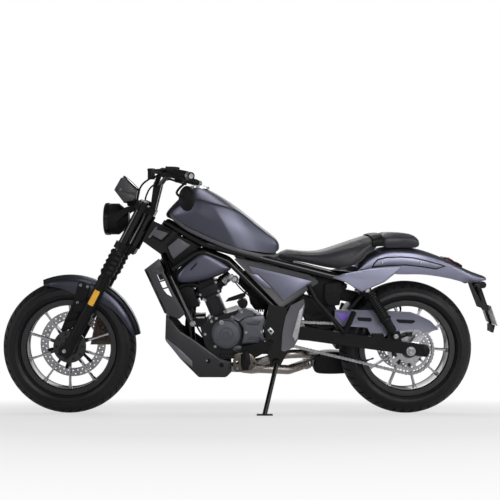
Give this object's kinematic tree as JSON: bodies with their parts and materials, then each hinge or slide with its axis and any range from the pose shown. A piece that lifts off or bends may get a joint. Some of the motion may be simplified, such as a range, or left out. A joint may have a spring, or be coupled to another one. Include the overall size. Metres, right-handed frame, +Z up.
{
  "type": "motorcycle",
  "caption": "Two-wheeled naked motorcycle leaning on its side stand, with turning wheels, steering fork and folding stand.",
  "frame": {"origin": "middle of the outer box at floor level, the machine leaning on its side stand", "axes": "+X from the front wheel to the back, +Y to the machine's right side, +Z up"},
  "size_m": [2.2069, 0.904, 1.134],
  "materials": {
    "painted_frame": "gloss",
    "cast_black": "satin",
    "engine_alloy": "satin",
    "alloy": "satin",
    "bare_steel": "satin",
    "exhaust_steel": "satin",
    "tyre": "matt",
    "grip_rubber": "matt",
    "panel_grey": "satin",
    "black_plastic": "matt",
    "seat_vinyl": "satin",
    "lamp_lens": "gloss",
    "mirror_shell": "gloss"
  },
  "bodies": {
    "chassis": {"main_frame": "painted_frame", "frame_tubes": "painted_frame", "pivot_plates": "painted_frame", "swingarm": "engine_alloy", "rear_shocks": "painted_frame", "crankcase": "engine_alloy", "cylinder": "engine_alloy", "engine_covers": "engine_alloy", "radiator": "engine_alloy", "lower_cowl": "panel_grey", "fuel_tank": "panel_grey", "tank_trim": "black_plastic", "seat": "seat_vinyl", "pillion_pad": "seat_vinyl", "rear_fender": "panel_grey", "tail_light": "lamp_lens", "plate_holder": "black_plastic", "side_panels": "panel_grey", "exhaust_pipe": "exhaust_steel", "muffler": "exhaust_steel", "chain": "bare_steel", "chain_guard": "black_plastic", "footrests": "alloy", "rear_axle": "bare_steel", "rear_brake": "alloy"},
    "fork": {"triple_clamps": "engine_alloy", "fork_tubes": "bare_steel", "fork_gaiters": "grip_rubber", "fork_lowers": "engine_alloy", "front_axle": "bare_steel", "front_brake": "alloy", "front_fender": "panel_grey", "headlight": "black_plastic", "instrument": "black_plastic", "handlebar": "painted_frame", "bar_controls": "grip_rubber", "mirrors": "mirror_shell"},
    "front_wheel": {"front_rim": "engine_alloy", "front_tyre": "tyre", "front_disc": "bare_steel"},
    "rear_wheel": {"rear_rim": "engine_alloy", "rear_tyre": "tyre", "rear_disc": "bare_steel", "rear_sprocket": "bare_steel"},
    "side_stand": {"side_stand": "painted_frame"}
  },
  "joints": [
    {"name": "steering", "type": "hinge", "parent": "chassis", "child": "fork", "pos_m": [-0.47002, 0.02287, 0.83142], "axis": [0.4602, -0.1846, 0.8684], "range_deg": [-36, 36]},
    {"name": "front_wheel_spin", "type": "hinge", "parent": "fork", "child": "front_wheel", "pos_m": [-0.8045, 0.13715, 0.29378], "axis": [0, 0.9781, 0.2079], "continuous": true},
    {"name": "rear_wheel_spin", "type": "hinge", "parent": "chassis", "child": "rear_wheel", "pos_m": [0.7055, 0.13752, 0.29204], "axis": [0, 0.9781, 0.2079], "continuous": true},
    {"name": "side_stand_fold", "type": "hinge", "parent": "chassis", "child": "side_stand", "pos_m": [0.1185, 0.0062, 0.21243], "axis": [0, -0.9624, 0.2718], "range_deg": [0, 98]}
  ]
}
